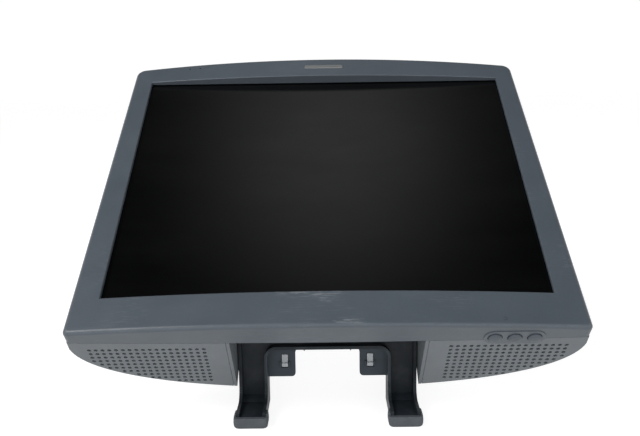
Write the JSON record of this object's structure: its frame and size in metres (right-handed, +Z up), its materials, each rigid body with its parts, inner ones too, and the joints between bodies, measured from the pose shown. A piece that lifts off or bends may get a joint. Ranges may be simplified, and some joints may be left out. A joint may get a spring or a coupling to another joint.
{
  "type": "patient monitor",
  "caption": "Flat bedside screen with a speaker bay under each side, leaning back on a low two-legged table stand with rear runners.",
  "frame": {"origin": "on the floor, straight below the tilt axis, midway between the legs", "axes": "+Z up, the screen faces -Y, +X to the viewer's right; the tilt axis runs along X"},
  "size_m": [0.3824, 0.292, 0.2865],
  "materials": {
    "bezel_plastic": "fine-grained blue-grey moulding, rubbed brighter on its edges",
    "housing_plastic": "fine-grained neutral grey moulding",
    "button_plastic": "smooth blue-grey caps",
    "badge_metal": "satin blank plate",
    "screen_glass": "unlit screen with an anti-glare film",
    "panel_steel": "blackened sheet",
    "clear_acrylic": "polished",
    "sheet_steel": "zinc-plated sheet",
    "circuit_board": "solder mask",
    "power_circuit_board": "bare laminate",
    "bare_aluminium": "extruded",
    "plated_shell": "nickel-plated",
    "black_plastic": "moulded",
    "green_plastic": "moulded",
    "cone_paper": "pressed paper",
    "hinge_steel": "phosphated",
    "shaft_steel": "ground",
    "stand_plastic": "dark blue-grey moulding with rubbed edges",
    "tongue_plastic": "natural nylon",
    "runner_aluminium": "dark powder coat over cast aluminium",
    "foot_rubber": "dark grey, scuffed",
    "screw_steel": "blackened"
  },
  "bodies": {
    "stand": {"stand_arch": "stand_plastic", "hinge_shaft": "shaft_steel", "friction_disc_left": "shaft_steel", "friction_disc_right": "shaft_steel", "toe_cap_left": "foot_rubber", "toe_cap_right": "foot_rubber", "runner_left": "runner_aluminium", "runner_right": "runner_aluminium", "runner_screw_left": "screw_steel", "runner_screw_right": "screw_steel", "heel_cap_left": "foot_rubber", "heel_cap_right": "foot_rubber"},
    "head": {"front_bezel": "bezel_plastic", "badge": "badge_metal", "mic_capsule": "black_plastic", "lcd_cell": "screen_glass", "lcd_frame": "panel_steel", "light_guide": "clear_acrylic", "backlight_tray": "sheet_steel", "chassis_plate": "sheet_steel", "main_board": "circuit_board", "heat_sink": "bare_aluminium", "power_board": "power_circuit_board", "inverter_board": "circuit_board", "rear_housing": "housing_plastic", "vesa_plate": "sheet_steel", "connector_plate": "sheet_steel", "power_inlet": "black_plastic", "video_socket": "plated_shell", "data_socket": "plated_shell", "audio_socket": "green_plastic", "speaker_cover_left": "housing_plastic", "speaker_cover_right": "housing_plastic", "speaker_frame_left": "black_plastic", "speaker_frame_right": "black_plastic", "speaker_cone_left": "cone_paper", "speaker_cone_right": "cone_paper", "button_surround": "bezel_plastic", "button_board": "circuit_board", "hinge_bracket_left": "hinge_steel", "hinge_bracket_right": "hinge_steel", "housing_screw_1": "screw_steel", "housing_screw_2": "screw_steel", "housing_screw_3": "screw_steel", "housing_screw_4": "screw_steel"},
    "button_1_body": {"button_1": "button_plastic"},
    "button_2_body": {"button_2": "button_plastic"},
    "button_3_body": {"button_3": "button_plastic"},
    "tongue_left": {"snap_tongue_left": "tongue_plastic"},
    "tongue_right": {"snap_tongue_right": "tongue_plastic"}
  },
  "joints": [
    {"name": "screen_tilt", "type": "hinge", "parent": "stand", "child": "head", "pos_m": [0, 0, 0.067], "axis": [1, 0, 0], "range_deg": [0, 44]},
    {"name": "button_1_press", "type": "slide", "parent": "head", "child": "button_1_body", "axis": [0, 0.7581, 0.6521], "range_m": [0, 0.0012], "stiffness_N_per_m": 600, "springref_m": -0.0004},
    {"name": "button_2_press", "type": "slide", "parent": "head", "child": "button_2_body", "axis": [0, 0.7581, 0.6521], "range_m": [0, 0.0012], "stiffness_N_per_m": 600, "springref_m": -0.0004},
    {"name": "button_3_press", "type": "slide", "parent": "head", "child": "button_3_body", "axis": [0, 0.7581, 0.6521], "range_m": [0, 0.0012], "stiffness_N_per_m": 600, "springref_m": -0.0004},
    {"name": "tongue_left_flex", "type": "hinge", "parent": "stand", "child": "tongue_left", "pos_m": [-0.0345, -0.0042, 0.0455], "axis": [1, 0, 0], "range_deg": [0, 8], "stiffness_Nm_per_rad": 0.3, "springref_deg": -1.15},
    {"name": "tongue_right_flex", "type": "hinge", "parent": "stand", "child": "tongue_right", "pos_m": [0.0345, -0.0042, 0.0455], "axis": [1, 0, 0], "range_deg": [0, 8], "stiffness_Nm_per_rad": 0.3, "springref_deg": -1.15}
  ]
}
